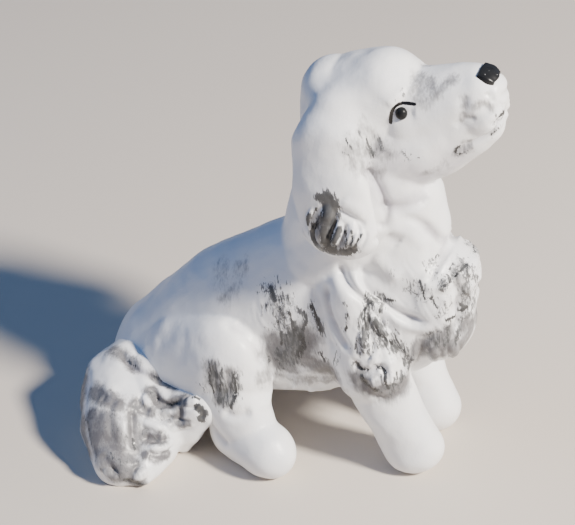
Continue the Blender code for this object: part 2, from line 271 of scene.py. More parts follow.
class Skin:
    """A fine skin round some chains, that strokes carve and paint."""

    def __init__(self, name, chains, voxel=0.22, softness=6):
        bm = bmesh.new()
        for chain in chains:
            add_chain(bm, chain)
        mesh = bpy.data.meshes.new(name)
        bm.to_mesh(mesh)
        bm.free()
        obj = bpy.data.objects.new(name, mesh)
        bpy.context.scene.collection.objects.link(obj)
        remesh = obj.modifiers.new("skin", "REMESH")
        remesh.mode = "VOXEL"
        remesh.voxel_size = voxel * MM
        soften = obj.modifiers.new("soften", "SMOOTH")
        soften.factor = 0.5
        soften.iterations = softness
        graph = bpy.context.evaluated_depsgraph_get()
        self.mesh = bpy.data.meshes.new_from_object(obj.evaluated_get(graph))
        bpy.data.objects.remove(obj)
        self.name = name
        self.count = len(self.mesh.vertices)
        self.read()
        self.height = np.zeros(self.count)
        # Paint kinds. shade and the groove value are painted shade: under the jaw and cheek, and in the
        # carved grooves.
        self.paint = {kind: np.zeros(self.count) for kind in ("brushed", "smeared", "dark", "shade", "groove_shade_and_wear")}
        self.paint["liner"] = np.full(self.count, 9.0)
        self.flow = self.points.copy()
        self.flow_weight = np.full(self.count, 0.02)

    def read(self):
        flat = np.empty(self.count * 3, np.float32)
        self.mesh.vertices.foreach_get("co", flat)
        self.points = flat.reshape(-1, 3).astype(float) / MM - np.array(ORIGIN)
        self.mesh.vertices.foreach_get("normal", flat)
        self.normals = flat.reshape(-1, 3).astype(float)
        faces = [tuple(face.vertices) for face in self.mesh.polygons]
        self.tree = BVHTree.FromPolygons([tuple(p) for p in self.points], faces)

    def write(self):
        """Moves the skin by its height, and starts a new height."""
        # Painted shade in the grooves: the deeper the skin is pressed in, the darker it is painted there.
        self.paint["groove_shade_and_wear"] = np.clip(self.paint["groove_shade_and_wear"] - self.height, 0, 1)
        self.points = self.points + self.normals * self.height[:, None]
        moved = (self.points + np.array(ORIGIN)) * MM
        self.mesh.vertices.foreach_set("co", moved.astype(np.float32).ravel())
        self.mesh.update()
        self.height = np.zeros(self.count)
        self.read()

    def fall(self, view, a, b):
        """The place where a drawn point falls on the skin, or the nearest one where it misses."""
        start, way = VIEWS[view]
        hit = self.tree.ray_cast(Vector(start(a, b)), Vector(way))[0]
        if hit is None:
            hit = self.tree.find_nearest(Vector(start(a, b)) + Vector(way) * MISSED_DEPTH)[0]
        return hit

    def path(self, view, drawn):
        """Closely spaced places on the skin along the points, which are (a, b) in the view or (x, y, z)."""
        if len(drawn[0]) == 3:
            fallen = smooth_between(drawn)
        else:
            flat = smooth_between([(a, b, 0.0) for a, b in drawn])
            fallen = [self.fall(view, p.x, p.y) for p in flat]
        places = [fallen[0]]
        for one, other in zip(fallen, fallen[1:]):
            count = max(1, math.ceil((other - one).length / 0.2))
            places += [one.lerp(other, k / count) for k in range(1, count + 1)]
        return np.array([self.tree.find_nearest(place)[0] for place in places])

    def near(self, path, reach):
        """Indexes, distances and share along the path of the points within reach of it."""
        low = path.min(0) - reach
        high = path.max(0) + reach
        index = np.nonzero(((self.points > low) & (self.points < high)).all(1))[0]
        gaps = self.points[index, None, :] - path[None]
        squares = (gaps**2).sum(2)
        best = squares.argmin(1)
        far = np.sqrt(squares[np.arange(len(index)), best])
        keep = far < reach
        return index[keep], far[keep], best[keep] / max(1, len(path) - 1)

    def each_side(self, view, drawn, both):
        """The drawn points, then, if both, the same points on the dog's left."""
        yield view, drawn
        if both and len(drawn[0]) == 3:
            yield view, [(x, -y, z) for x, y, z in drawn]
        elif both:
            yield "left", drawn

    def carve(self, view, drawn, radius, depth, ends=0.2, both=False):
        """A groove (depth below 0) or a ridge along the drawn line. ends is the share over which it fades."""
        for way, points in self.each_side(view, drawn, both):
            index, far, share = self.near(self.path(way, points), radius * 2.5)
            taper = np.clip(np.minimum(share, 1 - share) / max(ends, 1e-6), 0, 1) if ends else 1.0
            taper = taper * taper * (3 - 2 * taper) if ends else 1.0
            profile = np.exp(-((far / radius) ** 2))
            self.height[index] += depth * profile * taper

    def lock(self, view, drawn, radius, height, both=False):
        """A rounded lock of fur with a groove on both its sides."""
        for way, points in self.each_side(view, drawn, both):
            index, far, share = self.near(self.path(way, points), radius * 2)
            taper = np.clip(np.minimum(share, 1 - share) / LOCK_FADE, 0, 1)
            taper = np.sin(taper * math.pi / 2)
            size = radius * (0.45 + 0.55 * taper)
            u = far / size
            body = np.clip(1 - u * u, 0, 1)
            side = np.exp(-(((u - 1.12) / 0.28) ** 2))
            self.height[index] += (height * body - LOCK_GROOVE * height * side) * taper

    def soften(self, view, drawn, radius, rounds, both=False):
        """Smooths the skin near the drawn line."""
        ends = np.empty(len(self.mesh.edges) * 2, np.int32)
        self.mesh.edges.foreach_get("vertices", ends)
        ends = ends.reshape(-1, 2)
        share = np.zeros(self.count)
        for way, points in self.each_side(view, drawn, both):
            index, far, along = self.near(self.path(way, points), radius)
            share[index] = np.maximum(share[index], np.clip(1.6 * (1 - far / radius), 0, 1))
        used = ends[(share[ends] > 0).any(1)]
        for _ in range(rounds):
            total = np.zeros((self.count, 3))
            count = np.zeros(self.count)
            np.add.at(total, used[:, 0], self.points[used[:, 1]])
            np.add.at(total, used[:, 1], self.points[used[:, 0]])
            np.add.at(count, used[:, 0], 1)
            np.add.at(count, used[:, 1], 1)
            mean = total / np.maximum(count, 1)[:, None]
            self.points += (mean - self.points) * (share * 0.7)[:, None]
        self.write()

    def fur(self, view, drawn, radius, amount, way, fine, both=False):
        """Thin strands near the drawn line, that run along way."""
        for side, points in self.each_side(view, drawn, both):
            index, far, share = self.near(self.path(side, points), radius)
            run = Vector(way).normalized()
            across = run.cross(Vector((0, 1, 0))).normalized()
            third = run.cross(across)
            reach = np.clip(1.5 * (1 - far / radius), 0, 1)
            for i, k in zip(index, reach):
                p = Vector(self.points[i])
                bend = noise.noise(p * 0.35) * 1.2
                q = Vector((p.dot(across) * fine + bend, p.dot(run) * fine * 0.16, p.dot(third) * fine * 0.8))
                self.height[i] += amount * k * (abs(noise.noise(q)) * 2.4 - 0.5)

    def rough(self, size, amount, seed=0.0):
        """Unevenness of the hand-made form."""
        shift = Vector((seed, -seed, seed * 0.5))
        self.height += amount * np.array([noise.noise(Vector(p) / size + shift) for p in self.points])

    def brush(self, kind, view, drawn, radius, strength, bristles=(0, 0, 1), both=False):
        """Paint along the drawn line, wiped in the bristles' direction."""
        for turn, (way, points) in enumerate(self.each_side(view, drawn, both)):
            index, far, share = self.near(self.path(way, points), radius * 1.8)
            reach = np.clip(1.2 * np.exp(-((far / radius) ** 2)) - 0.08, 0, 1)
            amount = strength * FAR_SIDE_PAINT**turn * reach
            self.paint[kind][index] = np.maximum(self.paint[kind][index], amount)
            wins = amount > self.flow_weight[index]
            chosen = index[wins]
            along = np.array(Vector(bristles).normalized())
            across = np.cross(along, (0.0, 1.0, 0.0))
            across /= np.linalg.norm(across)
            third = np.cross(along, across)
            here = self.points[chosen]
            self.flow[chosen] = np.stack([here @ along * 0.22, here @ across, here @ third * 0.8], 1)
            self.flow_weight[chosen] = amount[wins]

    def line(self, view, drawn, both=False):
        """A painted liner stroke: stores the distance to it."""
        for way, points in self.each_side(view, drawn, both):
            index, far, share = self.near(self.path(way, points), 2.5)
            self.paint["liner"][index] = np.minimum(self.paint["liner"][index], far)

    def store(self):
        """Writes the paint to the mesh as attributes."""
        for kind, values in self.paint.items():
            made = self.mesh.attributes.new(kind, "FLOAT", "POINT")
            made.data.foreach_set("value", values.astype(np.float32))
        made = self.mesh.attributes.new("flow", "FLOAT_VECTOR", "POINT")
        made.data.foreach_set("vector", self.flow.astype(np.float32).ravel())


# ---------------------------------------------------------------- nodes
class Tree:
    """Builds one material's nodes."""

    def __init__(self, name):
        self.material = bpy.data.materials.new(name)
        self.material.use_nodes = True
        self.nodes = self.material.node_tree.nodes
        self.links = self.material.node_tree.links
        self.shader = self.nodes["Principled BSDF"]

    def link(self, value, socket):
        if isinstance(value, bpy.types.NodeSocket):
            self.links.new(value, socket)
        else:
            socket.default_value = value

    def math(self, operation, first, second=0.5, clamp=False):
        made = self.nodes.new("ShaderNodeMath")
        made.operation = operation
        made.use_clamp = clamp
        self.link(first, made.inputs[0])
        self.link(second, made.inputs[1])
        return made.outputs[0]

    def attribute(self, name, output="Fac"):
        made = self.nodes.new("ShaderNodeAttribute")
        made.attribute_name = name
        return made.outputs[output]

    def step(self, value, low, high):
        """0 below low and 1 above high, smooth between."""
        made = self.nodes.new("ShaderNodeMapRange")
        made.interpolation_type = "SMOOTHSTEP"
        self.link(value, made.inputs["Value"])
        made.inputs["From Min"].default_value = low
        made.inputs["From Max"].default_value = high
        return made.outputs["Result"]

    def noise(self, vector, scale, detail=3.0, roughness=0.55):
        made = self.nodes.new("ShaderNodeTexNoise")
        self.link(vector, made.inputs["Vector"])
        made.inputs["Scale"].default_value = scale
        made.inputs["Detail"].default_value = detail
        made.inputs["Roughness"].default_value = roughness
        return made.outputs["Fac"]

    def spread(self, parts):
        """The sum of the noises about their middle, each times its weight."""
        total = 0.0
        for value, weight in parts:
            total = self.math("ADD", total, self.math("MULTIPLY", self.math("SUBTRACT", value, 0.5), weight))
        return total

    def scaled(self, vector, by):
        made = self.nodes.new("ShaderNodeVectorMath")
        made.operation = "MULTIPLY"
        self.link(vector, made.inputs[0])
        made.inputs[1].default_value = by
        return made.outputs[0]

    def mix(self, factor, first, second):
        made = self.nodes.new("ShaderNodeMix")
        made.data_type = "RGBA"
        self.link(factor, made.inputs[0])
        self.link(first, made.inputs[6])
        self.link(second, made.inputs[7])
        return made.outputs[2]

    def bump(self, height, strength, distance):
        made = self.nodes.new("ShaderNodeBump")
        made.inputs["Strength"].default_value = strength
        made.inputs["Distance"].default_value = distance
        self.link(height, made.inputs["Height"])
        return made.outputs["Normal"]

    def place(self):
        """The object's own coordinates, in metres."""
        return self.nodes.new("ShaderNodeTexCoord").outputs["Object"]


def grey(level, blue=0.0):
    return (level, level * (1 + blue * 0.4), level * (1 + blue), 1.0)


def figure_paint():
    """Satin white with brushed grey, smeared grey, thick dark paint and black liner strokes, and painted
    shade under the jaw and cheek and in the carved grooves.
    """
    t = Tree("spaniel_paint")
    place = t.place()
    flow = t.attribute("flow", "Vector")
    streak = t.noise(t.scaled(flow, (2.4, 1.5, 1.2)), 1.0, 3.0, 0.6)
    fine = t.noise(t.scaled(flow, (4.6, 4.6, 3.8)), 1.0, 3.0, 0.6)
    speck = t.noise(place, 4200.0, 2.0, 0.5)
    cloud = t.noise(place, 700.0, 3.0, 0.5)
    broad = t.noise(place, 260.0, 2.0, 0.5)

    # Dry-brushing: only where the bristles caught.
    caught = t.spread(((streak, 1.6), (fine, 2.6), (cloud, 1.4)))
    reached = t.math("ADD", caught, t.attribute("brushed"))
    brushed = t.math("MULTIPLY", t.step(reached, 0.48, 0.62), t.step(t.attribute("brushed"), 0.02, 0.12))
    heavy = t.step(reached, 0.65, 1.0)

    # Smears: soft patches that thin out, with the white showing through on the high grain.
    smear = t.math("ADD", t.attribute("smeared"), t.spread(((cloud, 0.9), (streak, 0.8), (fine, 0.8))))
    smeared = t.math("MULTIPLY", t.step(smear, 0.05, 1.0), t.step(t.attribute("smeared"), 0.0, 0.3))

    # Touches of thick paint with a ragged edge.
    dark = t.attribute("dark")
    thick = t.math("ADD", dark, t.spread(((fine, 2.2), (cloud, 0.9))))
    thick = t.math("MULTIPLY", t.step(thick, 0.4, 0.54), t.step(dark, 0.02, 0.4))
    opaque = t.step(dark, 0.3, 0.95)

    liner = t.math("ADD", t.attribute("liner"), t.math("MULTIPLY", t.math("SUBTRACT", speck, 0.5), 0.12))
    liner = t.math("SUBTRACT", 1.0, t.step(liner, 0.17, 0.25))

    white = t.mix(t.step(broad, 0.35, 0.7), (0.87, 0.87, 0.87, 1.0), (0.82, 0.83, 0.85, 1.0))
    # Painted shade: the carved grooves are painted a darker grey, mottled by the cloud noise.
    groove_shade_and_wear = t.math("MULTIPLY", t.step(t.attribute("groove_shade_and_wear"), 0.08, 0.75), t.math("ADD", cloud, 0.2), clamp=True)
    colour = t.mix(groove_shade_and_wear, white, (0.36, 0.34, 0.37, 1.0))
    # Painted shade under the jaw and cheek: a lilac grey where the jaw's shadow falls, mottled by the cloud
    # noise.
    shade = t.math("MULTIPLY", t.attribute("shade"), t.math("ADD", cloud, 0.2), clamp=True)
    colour = t.mix(shade, colour, (0.42, 0.40, 0.46, 1.0))
    mottled = t.math("ADD", t.math("MULTIPLY", cloud, 0.6), t.math("MULTIPLY", fine, 0.4))
    smear_paint = t.mix(t.step(mottled, 0.4, 0.62), (0.055, 0.05, 0.056, 1.0), (0.17, 0.165, 0.17, 1.0))
    colour = t.mix(t.math("MULTIPLY", smeared, 0.9), colour, smear_paint)
    colour = t.mix(t.math("MULTIPLY", brushed, 0.8), colour, grey(0.13, 0.08))
    colour = t.mix(t.math("MULTIPLY", t.math("MULTIPLY", heavy, brushed), 0.85), colour, grey(0.05, 0.08))
    dark_paint = t.mix(t.step(cloud, 0.4, 0.62), grey(0.016, 0.12), grey(0.045, 0.1))
    pale_paint = t.mix(t.step(cloud, 0.4, 0.62), grey(0.06, 0.1), grey(0.13, 0.05))
    colour = t.mix(t.math("MULTIPLY", thick, 0.95), colour, t.mix(opaque, pale_paint, dark_paint))
    colour = t.mix(liner, colour, grey(0.008))
    t.link(colour, t.shader.inputs["Base Color"])

    rough = t.math("ADD", 0.36, t.math("MULTIPLY", cloud, 0.16))
    rough = t.math("SUBTRACT", rough, t.math("MULTIPLY", t.math("MAXIMUM", thick, liner), 0.2))
    rough = t.math("ADD", rough, t.math("MULTIPLY", brushed, 0.1))
    t.link(rough, t.shader.inputs["Roughness"])
    t.shader.inputs["Coat Weight"].default_value = 0.12
    t.shader.inputs["Coat Roughness"].default_value = 0.25

    relief = t.math("ADD", t.math("MULTIPLY", cloud, 0.7), t.math("MULTIPLY", speck, 0.12))
    relief = t.math("ADD", relief, t.math("MULTIPLY", streak, 0.25))
    relief = t.math("ADD", relief, t.math("MULTIPLY", t.math("MAXIMUM", brushed, thick), 0.25))
    t.link(t.bump(relief, 0.6, 0.00012), t.shader.inputs["Normal"])
    return t.material


def black_enamel(name, roughness, chipped, specular):
    t = Tree(name)
    place = t.place()
    cloud = t.noise(place, 900.0, 3.0, 0.5)
    speck = t.noise(place, 2600.0, 2.0, 0.5)
    chips = t.step(t.math("ADD", speck, t.math("MULTIPLY", t.attribute("groove_shade_and_wear"), 0.5)), 0.72, 0.8)
    colour = t.mix(cloud, grey(0.006), grey(0.02, 0.1))
    colour = t.mix(t.math("MULTIPLY", chips, chipped), colour, grey(0.5))
    t.link(colour, t.shader.inputs["Base Color"])
    t.link(t.math("ADD", roughness, t.math("MULTIPLY", cloud, 0.15)), t.shader.inputs["Roughness"])
    t.link(t.bump(cloud, 0.4, 0.00008), t.shader.inputs["Normal"])
    t.shader.inputs["Specular IOR Level"].default_value = specular
    return t.material


def floor_paint():
    t = Tree("pale_floor")
    place = t.place()
    cloud = t.noise(place, 9.0, 3.0, 0.5)
    colour = t.mix(cloud, (0.60, 0.54, 0.47, 1.0), (0.64, 0.58, 0.51, 1.0))
    t.link(colour, t.shader.inputs["Base Color"])
    t.shader.inputs["Roughness"].default_value = 0.7
    return t.material


# ---------------------------------------------------------------- pieces
ON_PLANE = 0.0005  # a point this near to a seam plane lies on it


def cut(bm, point, out, zone):
    """Cuts the faces whose centre is in the zone on a plane."""
    faces = [face for face in bm.faces if zone(local(face.calc_center_median()))]
    edges = {edge for face in faces for edge in face.edges}
    verts = {vert for face in faces for vert in face.verts}
    geom = faces + list(edges) + list(verts)
    bmesh.ops.bisect_plane(bm, geom=geom, dist=1e-8, plane_co=(Vector(point) + ORIGIN) * MM, plane_no=out)


def local(place):
    """A place of the mesh in the stations' frame, in mm."""
    return place / MM - ORIGIN


def beyond(place, point, out):
    """How far a place lies past a plane."""
    return (place - Vector(point)).dot(Vector(out))


def rims(bm, planes):
    """The open edges on each plane. Where two planes meet inside the skin, new edges join their corners."""
    open_edges = [edge for edge in bm.edges if edge.is_boundary]
    groups = []
    for point, out, _ in planes:
        near = [
            edge
            for edge in open_edges
            if all(abs(beyond(local(vert.co), point, out)) < ON_PLANE for vert in edge.verts)
        ]
        groups.append(set(near))
    for i, (point, out, _) in enumerate(planes):
        for j in range(i + 1, len(planes)):
            other_point, other_out, _ = planes[j]
            corners = [
                vert
                for vert in {vert for edge in groups[i] for vert in edge.verts}
                if sum(edge in groups[i] for edge in vert.link_edges) == 1
                and abs(beyond(local(vert.co), other_point, other_out)) < ON_PLANE
            ]
            corners.sort(key=lambda vert: vert.co.dot(out.cross(other_out)))
            for first, second in zip(corners[::2], corners[1::2]):
                corner_edge = bm.edges.new((first, second))
                groups[i].add(corner_edge)
                groups[j].add(corner_edge)
    return groups


def casting(skin, name, planes, keep):
    """The part of a skin that keep(centre) holds for, closed with flat faces on the planes."""
    bm = bmesh.new()
    bm.from_mesh(skin.mesh)
    for point, out, zone in planes:
        cut(bm, point, out, zone)
    gone = [face for face in bm.faces if not keep(local(face.calc_center_median()))]
    bmesh.ops.delete(bm, geom=gone, context="FACES")
    for face in bm.faces:
        face.smooth = True
    for (point, out, _), rim in zip(planes, rims(bm, planes)):
        rim = sorted(rim, key=lambda edge: tuple(edge.verts[0].co) + tuple(edge.verts[1].co))
        for edge in rim:
            edge.smooth = False
        if rim:
            made = bmesh.ops.triangle_fill(bm, edges=rim, use_beauty=True, use_dissolve=False, normal=out)
            for item in made["geom"]:
                if isinstance(item, bmesh.types.BMFace):
                    item.smooth = False
    bmesh.ops.recalc_face_normals(bm, faces=bm.faces[:])
    mesh = bpy.data.meshes.new(name)
    bm.to_mesh(mesh)
    bm.free()
    return mesh


def show(name, mesh, material, node):
    """Shows the mesh in place of a node of the frame."""
    mesh.materials.clear()
    mesh.materials.append(material)
    made = bpy.data.objects.new(name, mesh)
    bpy.context.scene.collection.objects.link(made)
    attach(made, "root")
    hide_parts(node)
    return made


paint = figure_paint()

dog = Skin(
    "dog",
    [
        TRUNK,
        NECK,
        NAPE,
        THROAT,
        BIB,
        SKULL,
        CHEEKS,
        MUZZLE,
        JAW,
        LIP,
        mirrored(LIP),
        EAR,
        mirrored(EAR),
        UPPER_ARM,
        mirrored(UPPER_ARM),
        FORELEG_RIGHT,
        FORELEG_LEFT,
        THIGH,
        mirrored(THIGH),
        SHANK,
        mirrored(SHANK),
        HIND_FOOT,
        mirrored(HIND_FOOT),
    ],
    voxel=0.2,
    softness=8,
)
# Where one form flows into the next, on both sides: points, radius, rounds of smoothing.
FLOWING = [
    ([(4.0, 46.6), (7.4, 48.0), (10.4, 46.0), (10.8, 43.0), (11.2, 40.6)], 2.6, 60),
    ([(14.0, 41.0), (17.0, 42.0), (19.6, 44.0)], 2.6, 30),
    ([(14.5, 33.5), (17.0, 33.0), (19.0, 32.5)], 2.0, 30),
    ([(14.0, 29.0), (15.0, 27.0), (14.0, 24.0), (16.0, 22.0)], 3.0, 40),
]
for points, radius, rounds in FLOWING:
    dog.soften("right", points, radius, rounds, both=True)

# Grooves and ridges on both sides, drawn on the side view: points, radius, depth.
SIDE_STROKES = [
    # Mouth, lip, brow and the hollow round the eye.
    ([(25.0, 46.0), (24.0, 44.6), (22.8, 43.8), (21.4, 43.0), (20.2, 42.2)], 0.35, -0.35),
    ([(24.6, 47.6), (23.8, 46.6), (22.6, 45.6), (21.2, 45.0)], 0.6, 0.14),
    ([(12.8, 46.8), (14.0, 48.2), (15.8, 48.6)], 0.8, 0.25),
    ([(13.6, 46.0), (14.8, 46.4), (16.0, 46.6)], 0.7, -0.2),
    ([(20.8, 49.2), (21.0, 47.6), (20.7, 46.0), (20.4, 45.0)], 0.6, -0.2),
    ([(20.8, 46.4), (22.2, 46.6)], 0.4, -0.18),
    ([(22.2, 48.0), (23.6, 47.9)], 0.5, -0.2),
    ([(22.9, 49.4), (23.6, 48.8), (23.8, 48.1)], 0.35, -0.15),
    ([(24.3, 48.2), (24.6, 47.2)], 0.3, -0.12),
    ([(24.2, -2.4, 46.0), (24.5, -2.0, 46.3), (24.7, -1.4, 46.7)], 0.3, -0.25),
    # Throat and neck folds.
    ([(12.6, 36.0), (13.8, 35.0), (15.6, 35.0), (17.4, 35.6)], 0.7, -0.5),
    ([(13.6, 34.4), (16.4, 33.2), (18.0, 31.6), (19.4, 29.4), (20.6, 28.2)], 0.6, -0.5),
    ([(13.6, 33.0), (16.0, 31.4), (18.0, 29.8)], 0.8, 0.25),
    ([(13.4, 31.6), (15.0, 30.4)], 0.8, -0.3),
    # Ear: free front edge, lower rim, the fold above the curls.
    ([(10.6, 41.4), (12.0, 38.8), (13.0, 36.6), (13.6, 34.6), (13.4, 33.0), (12.4, 31.6)], 0.45, -0.5),
    ([(3.8, 33.6), (5.0, 31.4), (6.6, 30.0), (9.0, 29.8), (11.2, 30.6)], 0.45, -0.5),
    ([(8.8, 36.4), (10.0, 35.8), (11.2, 35.2), (12.4, 34.4)], 0.35, -0.35),
    ([(9.4, 37.4), (10.8, 36.6), (12.2, 35.6)], 0.7, 0.2),
    # Chest: rolls of fur that run from under the ear to the bib's lower rim.
    (
        [(11.0, 28.0), (11.0, 26.4), (12.0, 25.0), (13.4, 23.8), (15.4, 22.4), (17.2, 21.6), (19.2, 21.6)],
        0.6,
        -0.9,
    ),
    ([(12.0, 29.0), (13.4, 27.8), (15.4, 26.4)], 1.0, 0.3),
    ([(10.0, 28.0), (10.8, 26.0), (12.6, 24.2), (14.6, 22.6), (17.0, 21.0), (19.4, 20.8)], 0.9, 0.55),
    ([(8.6, 28.0), (8.8, 26.4), (10.2, 25.2), (11.8, 24.0), (13.2, 22.8)], 0.5, -0.6),
    ([(7.8, 26.6), (9.0, 24.8), (10.4, 22.8), (11.2, 20.4)], 0.9, 0.25),
    ([(7.0, 25.0), (7.6, 22.0), (8.8, 19.8), (10.2, 18.0), (11.0, 17.2)], 0.6, -0.6),
    ([(5.6, 24.0), (6.4, 21.0), (7.4, 18.6), (8.8, 16.4)], 0.8, -0.25),
    ([(20.1, 27.8), (21.2, 26.0), (21.6, 23.4), (21.7, 21.0), (21.4, 19.4)], 0.5, -0.7),
    ([(19.8, 28.6), (21.6, 27.8), (22.5, 25.6), (22.6, 22.0), (22.6, 18.8)], 0.8, 0.3),
    ([(20.2, 20.6), (18.6, 19.2), (17.4, 17.2)], 0.5, -0.3),
    ([(18.8, 27.8), (18.4, 26.0)], 0.6, -0.15),
    # Belly fringe.
    *[([(x, 11.6), (x + 0.3, 9.8), (x + 0.1, 7.6)], 0.6, 0.3) for x in (0.6, 2.6, 4.4, 6.4, 8.2)],
    # Elbow tuft.
    ([(11.0, 17.0), (12.0, 15.6), (13.0, 15.6), (14.2, 16.2), (14.8, 15.0)], 0.4, -0.6),
    ([(14.8, 17.2), (15.2, 15.4), (15.1, 13.8)], 0.8, 0.5),
    ([(13.0, 17.4), (13.8, 17.2)], 0.8, 0.4),
    ([(13.4, 15.0), (13.8, 13.6)], 0.5, 0.4),
    ([(16.4, 18.4), (16.8, 16.0), (16.2, 13.4)], 0.6, 0.3),
    ([(12.2, 14.8), (13.4, 12.6), (15.2, 11.4)], 0.6, -0.35),
    # Haunch and hind foot.
    ([(-4.6, 17.6), (-2.4, 16.8), (-0.6, 15.0), (0.4, 12.6)], 0.7, -0.35),
    ([(-3.6, 8.2), (-2.0, 7.8), (-0.2, 8.4)], 0.6, -0.4),
    ([(-6.2, 5.8), (-4.6, 4.4), (-2.6, 3.2)], 0.6, -0.4),
    ([(-5.0, 13.8), (-4.6, 12.0), (-4.4, 10.0)], 0.3, -0.15),
    ([(-3.3, 13.4), (-3.1, 11.3), (-3.4, 9.4)], 0.3, -0.15),
]
for points, radius, depth in SIDE_STROKES:
    dog.carve("right", points, radius, depth, both=True)
dog.carve("front", [(-1.6, 45.6), (0.0, 46.1), (1.6, 45.6)], 0.35, -0.25, ends=0)
dog.carve("front", [(0.0, 46.1), (0.0, 48.0)], 0.3, -0.2)
dog.carve("front", [(-2.0, 48.7), (0.0, 48.6), (2.0, 48.7)], 0.5, -0.3)

# Locks of fur on both sides: points, radius, height.
SIDE_LOCKS = [
    ([(8.1, 36.6), (7.9, 34.6), (7.5, 32.8), (7.7, 31.4)], 0.95, 0.5),
    ([(9.6, 35.0), (9.3, 33.5), (8.7, 31.8)], 0.65, 0.5),
    ([(10.7, 34.9), (10.9, 33.5), (10.2, 31.8)], 0.65, 0.45),
    ([(11.8, 34.2), (11.6, 33.0), (10.9, 31.8)], 0.6, 0.4),
    ([(6.2, 35.6), (5.8, 34.2), (6.2, 32.8)], 0.5, 0.3),
    ([(12.6, 22.4), (13.6, 20.6), (15.0, 19.4)], 0.6, 0.35),
    ([(11.8, 20.6), (12.4, 18.8), (12.6, 17.4)], 0.7, 0.35),
    ([(17.6, 18.6), (17.4, 16.8), (17.0, 15.6)], 0.6, 0.25),
    ([(19.4, 18.6), (19.4, 16.6), (19.0, 15.0)], 0.7, 0.25),
    ([(21.2, 18.8), (21.4, 16.8), (21.0, 15.2)], 0.7, 0.25),
]
for points, radius, height in SIDE_LOCKS:
    dog.lock("right", points, radius, height, both=True)
# Fine fur on both sides: points, radius, amount, the way it runs, fineness.
FUR = [
    ([(8.0, 34.0), (9.5, 32.0)], 3.6, 0.07, (0.2, 0, -1), 1.6),
    ([(13.0, 25.0), (17.0, 25.0), (21.0, 22.0)], 5.0, 0.05, (0.5, 0, -1), 1.4),
    ([(13.0, 21.0), (14.0, 17.0), (14.6, 13.0)], 3.4, 0.14, (0.3, 0, -1), 1.8),
    ([(1.0, 9.0), (5.0, 9.6), (9.0, 12.0)], 3.4, 0.2, (0.15, 0, -1), 1.0),
    ([(1.0, 20.0), (3.0, 15.0), (6.0, 17.0)], 4.5, 0.05, (0.3, 0, -1), 1.4),
]
for points, radius, amount, way, fine in FUR:
    dog.fur("right", points, radius, amount, way, fine, both=True)
dog.rough(4.5, 0.24, 1.3)
dog.rough(1.7, 0.07, 7.1)
dog.write()

# The brow is one liner stroke.
BROW = [(13.4, 45.2), (13.4, 46.0), (13.6, 46.8), (14.1, 47.3), (14.8, 47.4), (15.7, 47.4)]
dog.line("right", BROW, both=True)

# Dry brushing: points, radius, strength, the bristles' way.
DRY_BRUSHED = [
    ([(1.0, 21.5), (2.5, 18.5), (3.5, 16.0)], 2.2, 0.5, (0.3, 0, -1)),
    ([(5.6, 20.8), (6.4, 18.8)], 1.0, 0.45, (0.3, 0, -1)),
    ([(3.6, 16.6), (2.6, 14.0)], 1.8, 0.95, (0.2, 0, -1)),
    ([(12.3, 23.4), (12.2, 21.4), (12.4, 19.0)], 0.9, 0.95, (0.1, 0, -1)),
    ([(13.4, 21.2), (14.6, 19.0), (15.6, 18.2)], 1.1, 0.95, (0.4, 0, -1)),
    ([(12.8, 18.6), (11.6, 18.0)], 0.9, 0.6, (0.2, 0, -1)),
    ([(16.2, 18.2), (16.6, 16.4), (16.4, 14.0)], 0.8, 0.75, (0.2, 0, -1)),
    ([(15.8, 14.2), (15.6, 12.6)], 0.8, 0.7, (0.2, 0, -1)),
    ([(-4.9, 13.0), (-4.2, 11.0), (-3.4, 9.6)], 1.3, 0.8, (0, 0, -1)),
    ([(-2.6, 12.6), (-2.4, 10.6)], 0.8, 0.85, (0.1, 0, -1)),
    ([(17.0, 25.6), (18.6, 24.8), (20.4, 23.8)], 1.2, 0.38, (0.3, 0, -1)),
    ([(18.2, 28.0), (20.2, 27.2)], 1.0, 0.3, (0.4, 0, -1)),
    ([(19.8, 28.8), (21.4, 27.8), (22.2, 26.0)], 0.8, 0.55, (0.4, 0, -1)),
    ([(22.0, 25.6), (22.3, 22.4), (22.4, 19.4)], 0.8, 0.6, (0, 0, -1)),
    ([(21.6, -2.0, 28.2), (22.6, -1.4, 26.0), (22.7, -0.8, 23.0), (22.8, -0.8, 20.0)], 0.9, 0.55, (0, 0, -1)),
    ([(10.6, 43.6), (11.6, 42.0), (12.6, 41.6)], 1.0, 0.25, (-0.5, 0, 1)),
    # The ragged top of the bib's grey edge.
    *[
        ([(x, 18.4), (x + 0.1, 20.0 + 0.3 * (x - 18.6))], 0.55, 0.8, (0, 0, -1))
        for x in (18.9, 19.8, 20.7, 21.6)
    ],
]
for points, radius, strength, bristles in DRY_BRUSHED:
    dog.brush("brushed", "right", points, radius, strength, bristles, both=True)

